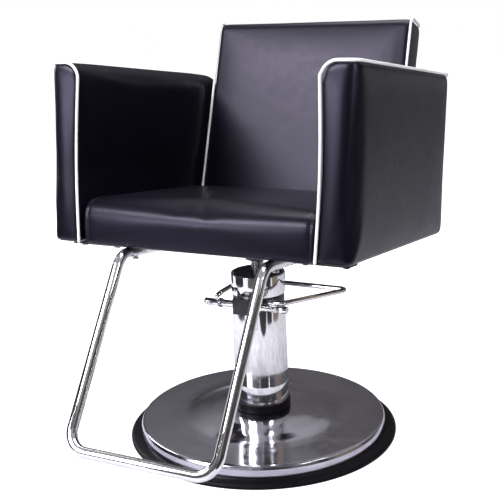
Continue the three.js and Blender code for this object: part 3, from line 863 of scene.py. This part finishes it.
def make_floor():
    """A plain pale floor, white to the camera, and a little mottled in what the chrome mirrors of it."""
    floor = Nodes("pale_floor", (0.6, 0.6, 0.62), 0.7)
    floor.tint(floor.noise(5, 7, (1, 1, 1), 2.5), (0.42, 0.41, 0.46), (0.74, 0.73, 0.77))
    floor.set(floor.shader, {"Emission Color": (1, 1, 1, 1)})
    glow = floor.node("ShaderNodeMath", operation="MULTIPLY")
    glow.inputs[1].default_value = FLOOR_GLOW
    floor.link(floor.node("ShaderNodeLightPath").outputs["Is Camera Ray"], glow.inputs[0])
    floor.link(glow.outputs[0], floor.shader.inputs["Emission Strength"])
    corners = [(FLOOR_HALF * a, FLOOR_HALF * b, 0) for a, b in ((-1, -1), (1, -1), (1, 1), (-1, 1))]
    made = piece("studio_floor", corners, [(0, 1, 2, 3)], floor.material, False)
    made.location.z = -0.0004


def make_world():
    """A pale room: plain to the camera, and a little uneven in what the chrome mirrors."""
    world = bpy.data.worlds.new("studio")
    bpy.context.scene.world = world
    world.use_nodes = True
    tree = world.node_tree
    tree.nodes.clear()
    direction = tree.nodes.new("ShaderNodeTexCoord")
    split = tree.nodes.new("ShaderNodeSeparateXYZ")
    ramp = tree.nodes.new("ShaderNodeValToRGB")
    tree.links.new(direction.outputs["Generated"], split.inputs[0])
    height = tree.nodes.new("ShaderNodeMapRange")
    height.inputs["From Min"].default_value = -0.2
    height.inputs["From Max"].default_value = 1.0
    tree.links.new(split.outputs["Z"], height.inputs["Value"])
    tree.links.new(height.outputs["Result"], ramp.inputs["Fac"])
    stops = [(0.0, 0.5), (0.17, 0.45), (0.24, 0.12), (0.38, 0.07), (0.55, 0.22), (0.75, 0.5), (1.0, 0.4)]
    ramp.color_ramp.elements[0].position = stops[0][0]
    ramp.color_ramp.elements[1].position = stops[-1][0]
    for position, _ in stops[1:-1]:
        ramp.color_ramp.elements.new(position)
    for element, (_, value) in zip(ramp.color_ramp.elements, stops):
        element.color = (value, value, value * 1.02, 1)
    room = tree.nodes.new("ShaderNodeBackground")
    tree.links.new(ramp.outputs["Color"], room.inputs["Color"])
    room.inputs["Strength"].default_value = 0.9
    plain = tree.nodes.new("ShaderNodeBackground")
    plain.inputs["Color"].default_value = (1, 1, 1, 1)
    plain.inputs["Strength"].default_value = 1.0
    path = tree.nodes.new("ShaderNodeLightPath")
    mix = tree.nodes.new("ShaderNodeMixShader")
    tree.links.new(path.outputs["Is Camera Ray"], mix.inputs["Fac"])
    tree.links.new(room.outputs[0], mix.inputs[1])
    tree.links.new(plain.outputs[0], mix.inputs[2])
    output = tree.nodes.new("ShaderNodeOutputWorld")
    tree.links.new(mix.outputs[0], output.inputs["Surface"])


def make_boards():
    """Dark and grey boards round the chair, seen only in what the chrome mirrors."""
    boards = [
        # azimuth from the front, distance, width, lightness, warmth
        (-59, 1.22, 1.00, 0.012, 1.0), (-1, 1.22, 0.70, 0.10, 0.80), (69, 1.22, 0.44, 0.012, 1.0),
        (100, 1.22, 0.62, 0.17, 0.62), (41, 0.84, 0.50, 0.025, 0.85), (190, 1.25, 0.70, 0.06, 0.9),
        (245, 1.25, 0.60, 0.03, 1.0),
    ]
    for i, (azimuth, distance, width, value, warmth) in enumerate(boards):
        shade = Nodes("board_" + str(i + 1), (value, value * (0.5 + warmth / 2), value * warmth), 0.8)
        shade.tint(shade.noise(6, 3), scaled(shade.color, 0.8), scaled(shade.color, 1.2))
        half = width / 2
        foot = half * 1.1 if distance < 1 else 0.02
        turn = np.radians(np.linspace(180, 360, 25))  # the board's foot is half an ellipse
        corners = [(half * math.cos(a), 0, foot * (1 + math.sin(a))) for a in turn]
        corners += [(half, 0, BOARD_TOP), (-half, 0, BOARD_TOP)]
        face = tuple(range(len(corners)))
        made = piece("studio_board_" + str(i + 1), corners, [face], shade.material, False)
        angle = math.radians(azimuth)
        made.matrix_world = Matrix.Rotation(angle, 4, "Z") @ Matrix.Translation((0, -distance, 0))
        for ray in ("camera", "diffuse", "shadow", "transmission"):
            setattr(made, "visible_" + ray, False)


def make_camera():
    place = Vector((921.6, -1827.7, 949.2)) * MM
    azimuth, pitch, roll = (math.radians(a) for a in (27.19, -14.41, 2.25))
    level = Vector((math.cos(azimuth), math.sin(azimuth), 0))
    ahead = Vector((-math.sin(azimuth), math.cos(azimuth), 0))
    forward = ahead * math.cos(pitch) + Vector((0, 0, math.sin(pitch)))
    upright = level.cross(forward)
    right = math.cos(roll) * level - math.sin(roll) * upright
    up = math.cos(roll) * upright + math.sin(roll) * level
    data = bpy.data.cameras.new("camera")
    data.lens = 68.61
    data.sensor_width = 36
    made = bpy.data.objects.new("camera", data)
    turn = Matrix((right, up, -forward)).transposed().to_4x4()
    made.matrix_world = Matrix.Translation(place) @ turn
    bpy.context.scene.collection.objects.link(made)
    bpy.context.scene.camera = made


bpy.context.scene.view_settings.view_transform = "Standard"
make_camera()
make_world()
make_floor()
make_boards()
light("key", (-1.4, -2.6, 2.78), (0, 0, 0.6), (1.8, 0.9), 105, (1.0, 0.98, 1.0))
light("front", (-1.1, -2.3, 1.15), (0, 0, 0.7), (1.5, 0.55), 34, (0.90, 0.90, 1.0))
light("side", (2.7, -1.3, 1.9), (0, 0, 0.6), (0.7, 1.6), 26, (0.97, 0.97, 1.0))
light("rim", (-2.6, 0.4, 1.8), (0, 0, 0.6), (0.7, 1.6), 40, (0.97, 0.97, 1.0))
light("top", (0.2, 0.5, 3.0), (0, 0, 0.5), (2.2, 1.6), 70)

make_seat()
make_arm("left", 1)
make_arm("right", -1)
make_back()
make_base()
make_column()
make_footrest()
make_pedal()
make_spring()

# What is left of the frame: small hard pieces get rounded edges, and hidden ones their finish
HIDDEN = {"floor_plate", "reservoir_tube", "pump_cylinder", "ram_gland", "ram_piston", "pump_plunger",
          "cam_finger", "pump_flange", "seat_board", "back_board", "arm_board_left",
          "arm_board_right"}
for node, shape in frame["nodes"].items():
    if shape.hide_render:
        continue
    if node in HIDDEN or node.startswith("flange_bolt"):
        shape.data.materials.clear()
        shape.data.materials.append(FINISHES[SLOT_OF[node]])
    else:
        softened(node, 1.5 if node == "pump_head" else 0.5)
